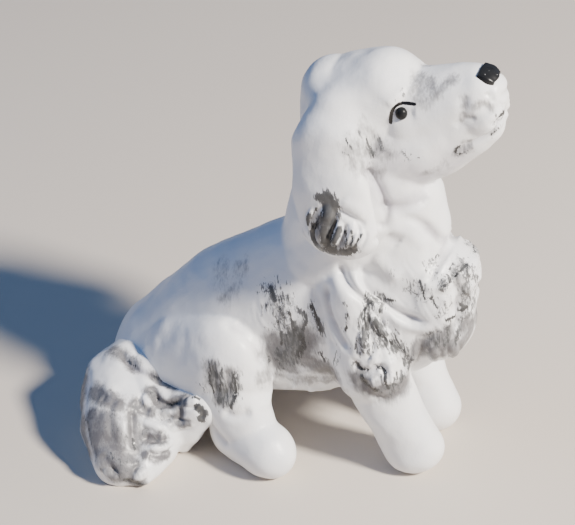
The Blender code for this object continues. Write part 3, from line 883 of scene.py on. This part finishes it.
# Soft smears: points, radius, strength.
SMEARS = [
    # Flank and belly.
    ([(4.4, 17.0), (3.6, 15.4), (2.4, 14.2)], 1.8, 1.3),
    ([(1.0, 14.6), (1.6, 13.0), (2.8, 12.6)], 1.4, 1.1),
    ([(1.2, 16.0), (3.0, 15.2), (4.8, 14.2), (6.4, 13.2), (8.4, 12.8)], 1.3, 1.1),
    ([(0.4, 11.6), (3.4, 10.6), (6.4, 10.8), (9.4, 11.6)], 1.1, 0.6),
    ([(1.4, 20.4), (2.6, 18.6)], 1.6, 0.45),
    ([(5.8, 20.2), (6.4, 18.4)], 0.9, 0.35),
    # Elbow.
    ([(12.0, 14.4), (13.6, 13.2), (15.4, 12.6), (16.4, 13.2)], 1.4, 1.1),
    ([(16.4, 17.4), (16.8, 15.2), (16.4, 13.2)], 1.0, 0.65),
    ([(12.6, 21.6), (13.4, 20.0), (14.8, 18.6)], 0.9, 0.5),
    # Knee.
    ([(-5.0, 13.2), (-4.4, 11.2), (-3.8, 9.6)], 1.1, 1.0),
    ([(-3.0, 13.0), (-2.8, 11.0), (-3.0, 9.4)], 0.9, 0.9),
    ([(-2.4, 9.2), (-1.0, 8.4)], 0.8, 0.3),
    # Bib: the low grey edge and the rim.
    ([(18.6, 18.4), (19.6, 19.3), (20.8, 19.8)], 1.2, 0.95),
    ([(18.0, 17.4), (19.4, 17.4), (21.2, 18.0)], 1.4, 1.1),
    ([(22.2, 20.0), (22.6, 18.6), (21.8, 16.8)], 1.2, 1.0),
    ([(21.2, 27.6), (22.0, 25.0), (22.2, 22.0)], 0.8, 0.7),
    # Back, where the grey is a faint bloom.
    ([(-6.8, 22.2), (-6.0, 20.8)], 1.1, 0.4),
    ([(-4.0, 23.4), (-4.4, 21.0), (-5.4, 19.4)], 1.1, 0.4),
    # Stop and muzzle.
    ([(15.6, 49.4), (16.0, 48.6), (16.4, 47.8)], 1.0, 0.6),
    ([(16.8, 49.4), (17.6, 48.6)], 0.9, 0.65),
    ([(18.2, 49.2), (19.2, 50.0)], 0.7, 0.65),
    ([(20.9, 48.6), (21.0, 47.8)], 0.5, 0.55),
    ([(20.9, 47.0), (20.8, 46.2)], 0.35, 0.55),
    ([(21.2, 46.5), (22.2, 46.6)], 0.3, 0.6),
    ([(22.2, 47.9), (22.9, 48.2), (23.8, 47.6)], 0.55, 0.55),
    ([(23.0, 49.2), (23.7, 48.6)], 0.3, 0.45),
    ([(23.8, 44.4), (24.2, 44.9)], 0.3, 0.5),
    ([(21.0, 43.4), (21.5, 43.4)], 0.35, 0.6),
    ([(17.6, 39.4), (19.0, 40.4)], 0.8, 0.4),
    # Cheek.
    ([(10.0, 43.0), (11.4, 42.2), (13.0, 41.8)], 1.3, 0.6),
    ([(10.6, 44.8), (11.4, 43.6), (12.4, 42.6)], 1.0, 0.5),
    ([(10.4, 41.4), (12.0, 39.6)], 1.2, 0.5),
    ([(21.4, 42.6), (20.6, 42.4), (20.5, 41.9)], 0.6, 0.75),
]
SMEAR_SPREAD = 1.25  # a smear is this much wider than drawn
FUR_WAY = (0.2, 0, -1)  # the bristles follow the fur, down and a little forward
for points, radius, strength in SMEARS:
    dog.brush("smeared", "right", points, radius * SMEAR_SPREAD, strength, FUR_WAY, both=True)
# Painted shade under the jaw and behind the cheek, where the jaw's shadow falls.
UNDER_JAW = [(13.2, 41.2), (14.8, 39.8), (16.6, 38.4), (18.8, 39.2), (20.2, 41.2)]
UNDER_CHEEK = [(12.0, 39.4), (12.6, 37.4), (14.0, 36.0), (16.0, 35.6)]
dog.brush("shade", "right", UNDER_JAW, 2.0, 0.65, both=True)
dog.brush("shade", "right", UNDER_CHEEK, 1.6, 0.6, both=True)

# Single touches of the brush tip: points, radius, strength.
TOUCHES = [
    # Flank.
    ([(0.3, 22.4), (1.0, 21.3)], 0.4, 0.9),
    ([(1.7, 21.9), (2.0, 21.1)], 0.2, 0.7),
    ([(2.4, 22.1), (2.9, 21.2)], 0.2, 0.65),
    ([(1.7, 20.5), (2.3, 19.5)], 0.35, 0.8),
    ([(2.8, 20.3), (3.3, 19.1), (3.5, 17.7)], 0.3, 0.9),
    ([(3.9, 20.8), (4.1, 20.4)], 0.2, 0.75),
    ([(4.6, 20.5), (4.9, 19.6), (4.6, 18.3)], 0.38, 0.75),
    ([(5.4, 21.3), (6.1, 19.9), (6.6, 18.6)], 0.42, 0.9),
    ([(1.6, 18.9), (1.7, 18.0)], 0.3, 0.65),
    ([(2.0, 17.5), (2.0, 15.7)], 0.3, 0.75),
    ([(2.6, 17.2), (2.8, 15.9)], 0.25, 0.8),
    ([(3.7, 18.4), (3.3, 16.0)], 0.4, 0.8),
    ([(4.2, 17.4), (4.6, 16.2), (3.9, 14.6)], 0.75, 0.8),
    ([(0.4, 13.6), (0.5, 13.0)], 0.25, 0.8),
    ([(1.4, 13.2), (1.9, 12.0)], 0.6, 0.62),
    ([(6.6, 15.6), (7.1, 14.3)], 0.25, 0.65),
    ([(9.0, 17.2), (8.5, 15.3)], 0.25, 0.6),
    ([(10.1, 23.5), (10.3, 22.1)], 0.17, 0.9),
    ([(10.2, 20.7), (10.0, 20.2)], 0.25, 0.9),
    ([(11.3, 19.1), (11.3, 18.1)], 0.2, 0.7),
    # Elbow.
    ([(11.8, 24.4), (12.0, 24.0)], 0.17, 0.9),
    ([(12.9, 23.9), (12.1, 23.2), (12.0, 22.2), (12.3, 20.8)], 0.26, 0.8),
    ([(12.7, 23.9), (13.5, 23.5), (13.5, 22.6)], 0.21, 0.75),
    ([(13.2, 21.6), (13.6, 20.4), (14.4, 19.2), (15.0, 18.5)], 0.34, 0.85),
    ([(12.6, 20.0), (12.4, 18.6)], 0.21, 0.75),
    ([(11.3, 16.3), (12.0, 15.5), (12.8, 15.5)], 0.21, 0.95),
    ([(13.9, 15.9), (14.6, 15.7), (14.9, 14.7), (15.2, 13.4)], 0.3, 0.9),
    ([(12.2, 14.8), (12.9, 13.8), (14.0, 13.2)], 0.47, 0.85),
    ([(15.4, 18.4), (16.0, 18.7), (16.3, 17.6), (16.0, 16.7), (16.5, 15.7)], 0.17, 0.75),
    ([(15.9, 15.4), (16.0, 14.4)], 0.17, 0.7),
    # Chest and rim.
    ([(13.9, 23.8), (14.9, 23.8)], 0.25, 0.85),
    ([(14.2, 27.6), (14.4, 26.6)], 0.12, 0.6),
    ([(16.0, 26.6), (16.2, 25.8)], 0.14, 0.6),
    ([(16.6, 24.8), (17.7, 25.0)], 0.14, 0.7),
    ([(17.5, 26.5), (18.0, 25.4), (18.3, 24.6), (18.9, 24.7)], 0.25, 0.8),
    ([(18.3, 27.9), (18.6, 28.6)], 0.18, 0.7),
    ([(20.2, 27.2), (20.4, 27.8)], 0.18, 0.65),
    ([(19.0, 25.4), (19.2, 24.4), (19.7, 23.6)], 0.22, 0.75),
    ([(20.4, 24.4), (20.6, 23.5)], 0.16, 0.7),
    ([(17.3, 23.4), (17.2, 22.6)], 0.12, 0.65),
    ([(19.3, 22.7), (19.8, 22.2)], 0.14, 0.65),
    ([(20.0, 30.1), (20.2, 29.5)], 0.18, 0.75),
    ([(21.0, 28.2), (21.8, 27.4), (22.3, 26.3)], 0.29, 0.8),
    ([(22.0, 24.9), (22.3, 23.9), (22.4, 22.8)], 0.25, 0.85),
    ([(21.6, 22.9), (22.3, 22.3), (22.8, 22.3)], 0.25, 0.95),
    ([(22.4, 22.0), (22.4, 21.1)], 0.22, 0.8),
    # Mouth and cheek.
    ([(24.2, -2.3, 46.0), (24.5, -2.0, 46.3), (24.6, -1.8, 46.5)], 0.24, 0.95),
    ([(24.6, -1.7, 46.5), (24.7, -1.3, 46.7)], 0.3, 1.1),
    ([(23.7, -2.0, 44.2), (24.1, -1.8, 44.7), (24.3, -1.7, 45.0)], 0.22, 0.8),
    ([(20.7, -3.1, 42.8), (20.3, -3.2, 42.5), (20.2, -3.2, 42.1), (20.5, -3.0, 41.8)], 0.25, 0.85),
    ([(20.5, -3.0, 41.8), (21.1, -2.8, 42.0), (21.7, -2.7, 42.3)], 0.16, 0.65),
    ([(9.3, 43.9), (9.8, 43.1)], 0.2, 0.6),
    ([(9.2, 42.5), (9.6, 42.2)], 0.2, 0.6),
    ([(11.1, 43.4), (11.5, 42.3), (11.9, 41.2)], 0.25, 0.62),
    ([(12.2, 43.6), (12.8, 42.4)], 0.18, 0.6),
    ([(14.9, 42.1), (15.7, 41.2)], 0.15, 0.6),
    ([(15.8, 41.8), (16.7, 41.5)], 0.18, 0.62),
    ([(14.2, 47.9), (14.2, 48.4)], 0.15, 0.6),
    # Knee.
    ([(-5.3, 13.2), (-5.2, 11.6), (-4.8, 10.2)], 0.3, 0.75),
    ([(-3.9, 13.4), (-4.0, 11.6), (-3.9, 10.0)], 0.35, 0.62),
    ([(-2.5, 12.8), (-2.2, 11.2), (-2.3, 9.7), (-2.6, 8.8)], 0.4, 0.75),
    ([(-6.5, 10.8), (-5.6, 9.9)], 0.25, 0.6),
]
TOUCH_WIDTH = 0.95
HALO_WIDTH = 1.3  # the half-dry paint round a touch
HALO_MORE = 0.35
for points, radius, strength in TOUCHES:
    dog.brush("dark", "right", points, radius * TOUCH_WIDTH, strength, FUR_WAY, both=True)
    dog.brush("brushed", "right", points, radius * HALO_WIDTH + HALO_MORE, strength / 2, FUR_WAY, both=True)

# The ear tips are dipped in thick paint, that leaves the middle of some locks bare.
EAR_TIPS = [
    ([(7.0, 37.2), (7.8, 37.5), (8.6, 37.1), (9.0, 36.6)], 0.5, 1.0),
    ([(8.1, 37.2), (8.4, 36.1), (8.3, 35.1)], 0.95, 1.2),
    ([(7.3, 34.8), (6.6, 33.2), (6.6, 31.8), (7.4, 30.9)], 0.5, 1.1),
    ([(7.9, 34.0), (7.9, 32.6), (8.0, 31.4)], 0.45, 1.1),
    ([(8.7, 35.6), (8.7, 34.4), (8.5, 33.0), (8.3, 31.4)], 0.5, 1.1),
    ([(9.6, 34.2), (9.3, 33.2), (8.9, 32.0), (8.6, 31.0)], 0.4, 1.0),
    ([(8.4, 30.8), (9.4, 31.0), (10.4, 31.2), (11.0, 31.7)], 0.7, 1.0),
    ([(10.1, 33.6), (10.5, 33.0), (10.4, 32.2)], 0.22, 0.75),
    ([(10.9, 34.2), (11.1, 33.0), (10.8, 32.0)], 0.2, 0.7),
    ([(12.0, 33.8), (11.5, 32.7), (11.0, 31.9)], 0.16, 0.85),
    ([(5.9, 34.8), (5.7, 34.3), (5.7, 33.8)], 0.35, 0.95),
    ([(6.7, 35.8), (6.4, 35.1)], 0.18, 0.95),
]
EAR_TIP_WIDTH = 1.15
for points, radius, strength in EAR_TIPS:
    dog.brush("dark", "right", points, radius * EAR_TIP_WIDTH, strength, FUR_WAY, both=True)
EAR_WASH = [(7.4, 34.6), (7.4, 32.4), (9.0, 31.6), (10.6, 32.2)]
dog.brush("smeared", "right", EAR_WASH, 1.5, 0.8, FUR_WAY, both=True)
dog.store()

side_planes = {}
for side, sign in (("right", 1), ("left", -1)):
    out = Vector((HAUNCH_OUT.x, HAUNCH_OUT.y * sign, HAUNCH_OUT.z))
    point = Vector((HAUNCH_SEAM.x, HAUNCH_SEAM.y * sign, HAUNCH_SEAM.z))
    side_planes[side] = (point, out)


FORE_ZONE_BACK = 8.9
FORE_ZONE_TOP = 15.0
HAUNCH_ZONE_FRONT = 7.5
NECK_ZONE = 2.0  # how far from the neck's seam faces are looked at
EAR_ZONE_SIDE = 4.0


def in_fore_zone(p):
    return p.x > FORE_ZONE_BACK and p.z < FORE_ZONE_TOP


def in_haunch_zone(p, side):
    return p.x < HAUNCH_ZONE_FRONT and (p.y < 0) == (side == "right")


def is_head(p):
    return p.z > NECK_SEAM.z


def is_foreleg(p):
    return in_fore_zone(p) and beyond(p, FORELEG_SEAM, FORELEG_DOWN) > 0


def is_ear(p, side):
    return EAR_FOOT[side] < p.z < EAR_TOP and (p.y < -EAR_SEAM if side == "right" else p.y > EAR_SEAM)


def is_hind_leg(p, side):
    return in_haunch_zone(p, side) and beyond(p, *side_planes[side]) > 0


neck_plane = (NECK_SEAM, Vector((0, 0, 1)), lambda p: abs(p.z - NECK_SEAM.z) < NECK_ZONE)
fore_plane = (FORELEG_SEAM, FORELEG_DOWN, in_fore_zone)
haunch_planes = {
    side: (*side_planes[side], lambda p, side=side: in_haunch_zone(p, side)) for side in ("right", "left")
}


def in_ear_zone(p, side, sign):
    return EAR_FOOT[side] < p.z < EAR_TOP and p.y * sign > EAR_ZONE_SIDE


ear_planes = {
    side: (
        Vector((0, sign * EAR_SEAM, 0)),
        Vector((0, sign, 0)),
        lambda p, side=side, sign=sign: in_ear_zone(p, side, sign),
    )
    for side, sign in (("right", -1), ("left", 1))
}


def is_either_ear(p):
    return is_ear(p, "right") or is_ear(p, "left")


torso_mesh = casting(
    dog,
    "torso_sculpt",
    [neck_plane, fore_plane, *haunch_planes.values(), *ear_planes.values()],
    lambda p: not (
        is_head(p) or is_foreleg(p) or is_hind_leg(p, "right") or is_hind_leg(p, "left") or is_either_ear(p)
    ),
)
show("torso_sculpt", torso_mesh, paint, "torso")
head_mesh = casting(
    dog,
    "head_sculpt",
    [neck_plane, *ear_planes.values()],
    lambda p: is_head(p) and not is_either_ear(p),
)
show("head_sculpt", head_mesh, paint, "head")
for side, sign in (("right", -1), ("left", 1)):
    name = "ear_" + side
    mesh = casting(dog, name + "_sculpt", [ear_planes[side]], lambda p: is_ear(p, side))
    show(name + "_sculpt", mesh, paint, name)
    name = "foreleg_" + side
    mesh = casting(dog, name + "_sculpt", [fore_plane], lambda p: is_foreleg(p) and p.y * sign > 0)
    show(name + "_sculpt", mesh, paint, name)
    name = "hind_leg_" + side
    mesh = casting(dog, name + "_sculpt", [haunch_planes[side]], lambda p: is_hind_leg(p, side))
    show(name + "_sculpt", mesh, paint, name)

# Tail.
tail = Skin("tail", [TAIL_CORE, TAIL_FRINGE, TAIL_LOCK], voxel=0.2, softness=6)
# The tail's strokes are places in space.
RUMP_EDGE = [
    (-18.6, -7.6, 10.6),
    (-16.6, -9.4, 10.1),
    (-15.0, -10.2, 9.8),
    (-13.4, -10.2, 9.4),
    (-10.8, -10.2, 9.0),
]
# These are both carved and painted.
CURL = [(-12.6, -11.8, 8.4), (-11.6, -12.2, 7.4), (-10.6, -11.8, 7.0), (-9.4, -11.6, 7.4), (-8.6, -12.0, 8.2)]
HOOK = [(-9.0, -12.0, 7.6), (-8.6, -12.6, 7.0), (-8.7, -13.2, 6.2), (-7.8, -13.4, 6.0)]
LONG_GROOVE = [(-14.2, -14.4, 7.2), (-13.8, -15.6, 6.2), (-13.2, -16.6, 4.8), (-12.6, -17.6, 3.8)]
MIDDLE_GROOVE = [(-12.0, -16.0, 5.2), (-11.0, -15.8, 4.6), (-10.0, -15.4, 4.8)]
LOW_GROOVE = [(-11.2, -17.2, 3.2), (-10.0, -16.8, 3.0), (-9.2, -15.8, 3.0)]
ROOT_GROOVE = [(-14.0, -13.8, 7.8), (-13.0, -14.2, 7.4), (-12.0, -14.0, 7.2)]
TIP = [(-6.6, -12.5, 8.2), (-5.9, -12.7, 7.6), (-6.0, -12.7, 6.6)]
TAIL_STROKES = [
    # Beside the rump and round the curl.
    (RUMP_EDGE, 0.5, -0.5),
    (CURL, 0.45, -0.6),
    (HOOK, 0.4, -0.45),
    (TIP, 0.45, -0.35),
    # Between the locks.
    (LONG_GROOVE, 0.7, -0.4),
    (MIDDLE_GROOVE, 0.5, -0.5),
    (LOW_GROOVE, 0.65, -0.25),
    (ROOT_GROOVE, 0.5, -0.3),
    ([(-18.0, -14.6, 8.0), (-16.4, -15.0, 8.2), (-15.4, -15.0, 8.2)], 0.6, -0.2),
    ([(-16.0, -19.6, 4.2), (-14.8, -20.2, 3.4), (-13.4, -20.4, 2.2)], 0.5, -0.35),
    ([(-12.6, -20.2, 1.6), (-11.8, -20.0, 1.0), (-10.8, -19.6, 0.8)], 0.4, -0.3),
]
for points, radius, depth in TAIL_STROKES:
    tail.carve("right", points, radius, depth)
TAIL_LOCKS = [
    ([(-13.4, -12.4, 8.4), (-12.8, -12.8, 8.0), (-12.2, -13.2, 7.6)], 1.0, 0.45),
    ([(-15.6, -14.0, 8.4), (-14.8, -15.6, 7.6), (-14.2, -17.2, 6.0), (-13.8, -18.0, 4.8)], 1.2, 0.16),
    ([(-12.8, -15.2, 6.6), (-11.4, -14.8, 6.0), (-10.0, -14.6, 5.4)], 0.6, 0.35),
    ([(-11.2, -16.8, 4.2), (-9.8, -16.0, 4.0), (-8.8, -14.4, 3.8)], 0.6, 0.35),
    ([(-11.8, -19.8, 2.0), (-11.2, -19.4, 2.1), (-10.4, -18.6, 2.4)], 0.8, 0.35),
    ([(-15.2, -20.4, 2.6), (-14.4, -20.6, 2.0), (-13.4, -20.4, 1.4)], 0.7, 0.3),
    ([(-8.2, -12.4, 8.2), (-7.4, -12.2, 8.8), (-6.6, -12.0, 8.8)], 0.7, 0.4),
    ([(-11.2, -12.9, 6.6), (-10.4, -12.6, 6.6), (-9.6, -12.4, 6.6)], 0.7, 0.3),
    ([(-10.6, -13.6, 6.0), (-8.8, -13.4, 5.4), (-7.0, -12.8, 5.8)], 0.7, 0.25),
]
for points, radius, height in TAIL_LOCKS:
    tail.lock("right", points, radius, height)
tail.rough(3.0, 0.4, 2.0)
tail.rough(1.6, 0.14, 9.0)
tail.write()
TAIL_SMEARS = [
    # The first two smears run along the joint with the rump: grey paint, and partly painted shade in the
    # groove there.
    ([(-19.2, -8.0, 10.3), (-17.4, -8.8, 9.9), (-15.8, -9.4, 9.5)], 0.9, 0.85),
    ([(-13.4, -9.8, 9.2), (-11.8, -9.8, 8.6), (-10.4, -10.2, 9.0)], 0.7, 0.8),
    (CURL, 0.8, 1.3),
    (HOOK, 0.6, 1.1),
    (ROOT_GROOVE, 0.7, 1.0),
    ([(-19.2, -13.8, 8.2), (-17.6, -14.6, 8.2), (-15.6, -15.0, 8.2)], 1.1, 1.0),
    ([(-16.4, -17.2, 6.6), (-15.4, -18.0, 5.4), (-14.2, -18.8, 4.0), (-12.8, -19.4, 3.2)], 1.6, 1.1),
    ([(-18.4, -16.2, 6.6), (-17.2, -17.8, 5.4), (-15.8, -19.4, 3.8), (-13.4, -20.4, 2.2)], 1.0, 1.1),
    ([(-12.8, -19.6, 2.4), (-11.8, -20.0, 1.0), (-10.8, -19.6, 0.8)], 0.7, 1.1),
    (LONG_GROOVE, 0.9, 0.9),
    (MIDDLE_GROOVE, 0.8, 1.2),
    (LOW_GROOVE, 0.6, 1.1),
    ([(-10.6, -13.4, 6.8), (-9.4, -13.4, 5.8)], 0.8, 0.6),
    # On its back.
    ([(-22.2, -7.0, 7.4), (-21.8, -10.6, 7.0), (-20.6, -13.8, 5.4)], 1.2, 0.9),
    ([(-21.8, -6.0, 4.0), (-21.4, -9.4, 3.4)], 0.9, 0.7),
    ([(-19.4, -15.6, 4.8), (-18.0, -18.0, 3.0)], 1.2, 0.9),
    ([(-20.2, -3.6, 8.0), (-20.6, -5.2, 8.6)], 0.8, 0.8),
]
TAIL_WAY = (0.3, 0, -1)
TAIL_STRONGER = 1.1
DRY_WIDTH = 1.1  # the dry-brushing over a smear, as shares of its drawn width and strength
DRY_STRENGTH = 0.22
for points, radius, strength in TAIL_SMEARS:
    tail.brush("smeared", "right", points, radius * SMEAR_SPREAD, strength * TAIL_STRONGER, TAIL_WAY)
    tail.brush("brushed", "right", points, radius * DRY_WIDTH, strength * DRY_STRENGTH, TAIL_WAY)
TAIL_TOUCHES = [
    ([(-7.4, -12.0, 9.0), (-6.4, -11.7, 8.8)], 0.25, 0.8),
    (TIP, 0.5, 1.1),
    ([(-10.6, -11.8, 7.0), (-9.4, -11.6, 7.4)], 0.3, 0.8),
    ([(-12.4, -20.2, 1.4), (-11.6, -20.0, 0.9), (-10.8, -19.6, 0.8)], 0.4, 0.9),
    ([(-13.2, -16.6, 4.8), (-12.7, -17.4, 3.9)], 0.25, 0.8),
    # The last two touches darken the joint with the rump too: paint, and partly painted shade in the groove.
    ([(-16.8, -9.0, 9.9), (-15.8, -9.5, 9.7)], 0.3, 0.65),
    ([(-13.2, -9.9, 9.2), (-12.2, -9.8, 8.8)], 0.25, 0.65),
]
for points, radius, strength in TAIL_TOUCHES:
    tail.brush("dark", "right", points, radius, strength, TAIL_WAY)
tail.store()


def on_floor(mesh):
    """Flattens what would reach below the ground."""
    flat = np.empty(len(mesh.vertices) * 3, np.float32)
    mesh.vertices.foreach_get("co", flat)
    points = flat.reshape(-1, 3)
    points[:, 2] = np.maximum(points[:, 2], 0.0)
    mesh.vertices.foreach_set("co", points.ravel())
    mesh.update()


show("tail_sculpt", casting(tail, "tail", [], lambda p: True), paint, "tail")


def bead(name, centre, half, turn, squareness, node, material, pits=()):
    """A rounded pad. pits are (direction, radius, depth) pressed into it."""
    bm = bmesh.new()
    bmesh.ops.create_uvsphere(bm, u_segments=48, v_segments=32, radius=1.0)
    for vert in bm.verts:
        way = vert.co.normalized()
        longest = max(abs(value) for value in way)
        size = 1.0 + squareness * (1.0 / longest - 1.0)
        for pit, radius, depth in pits:
            gap = (way - Vector(pit).normalized()).length
            size -= depth * math.exp(-((gap / radius) ** 2))
        vert.co = way * size
    scale = Matrix.Diagonal([value * MM for value in half] + [1.0])
    bmesh.ops.transform(bm, matrix=at(centre) @ turn @ scale, verts=bm.verts[:])
    for face in bm.faces:
        face.smooth = True
    mesh = bpy.data.meshes.new(name)
    bm.to_mesh(mesh)
    bm.free()
    return show(name, mesh, material, node)


NOSE_HALF = (1.25, 1.6, 1.2)
NOSE_SQUARENESS = 0.45  # 0 is an ellipsoid, 1 a block
EYE_HALF = (0.65, 0.6, 0.72)
nose_paint = black_enamel("nose_enamel", 0.22, 0.7, 0.35)
eye_paint = black_enamel("eye_enamel", 0.22, 0.0, 0.12)
nose_turn = Matrix.Rotation(math.radians(20.0), 4, "Y") @ Matrix.Rotation(math.radians(8.0), 4, "X")
nostrils = [((0.75, s * 0.6, 0.75), 0.28, 0.12) for s in (-1, 1)]
bead("nose_pad", NOSE_AT, NOSE_HALF, nose_turn, NOSE_SQUARENESS, "nose", nose_paint, nostrils)
for side, sign in (("right", 1), ("left", -1)):
    centre = Vector((EYE_AT.x, EYE_AT.y * sign, EYE_AT.z))
    node = "eye_" + side
    bead(node + "_bead", centre, EYE_HALF, Matrix.Identity(4), 0.0, node, eye_paint)

for obj in list(bpy.data.objects):
    if obj.name.endswith("_sculpt"):
        on_floor(obj.data)

# ---------------------------------------------------------------- floor, camera, light
bpy.ops.mesh.primitive_plane_add(size=3.0)
floor = bpy.context.object
floor.name = "floor"
floor.data.materials.append(floor_paint())


def towards(azimuth, elevation):
    """The way from the figure to a viewpoint. Azimuth 0 is the dog's right side, and 90 its front."""
    a = math.radians(azimuth)
    e = math.radians(elevation)
    return Vector((math.sin(a) * math.cos(e), -math.cos(a) * math.cos(e), math.sin(e)))


TARGET = Vector((0, 0, 22.0)) + ORIGIN
VIEW_FROM = towards(20, 32)
VIEW_DISTANCE = 230.0
camera = bpy.data.objects.new("camera", bpy.data.cameras.new("camera"))
bpy.context.scene.collection.objects.link(camera)
camera.data.sensor_width = 36.0
camera.data.lens = 123.8
camera.data.clip_start = 0.005
camera.location = (TARGET + VIEW_FROM * VIEW_DISTANCE) * MM
camera.rotation_mode = "QUATERNION"
camera.rotation_quaternion = (-VIEW_FROM).to_track_quat("-Z", "Y")
bpy.context.scene.camera = camera


def area_light(name, azimuth, elevation, distance, size, power, colour):
    data = bpy.data.lights.new(name, "AREA")
    data.shape = "DISK"
    data.size = size
    data.energy = power
    data.color = colour
    made = bpy.data.objects.new(name, data)
    bpy.context.scene.collection.objects.link(made)
    made.location = (TARGET * MM) + towards(azimuth, elevation) * distance
    made.rotation_mode = "QUATERNION"
    made.rotation_quaternion = (-towards(azimuth, elevation)).to_track_quat("-Z", "Y")
    return made


area_light("key", 77, 38, 0.5, 0.08, 7.8, (1.0, 0.93, 0.84))
area_light("fill", -60, 50, 0.6, 0.5, 0.8, (0.28, 0.52, 1.0))
world = bpy.data.worlds.new("studio")
bpy.context.scene.world = world
world.use_nodes = True
world.node_tree.nodes["Background"].inputs["Color"].default_value = (0.28, 0.48, 1.0, 1.0)
world.node_tree.nodes["Background"].inputs["Strength"].default_value = 0.22
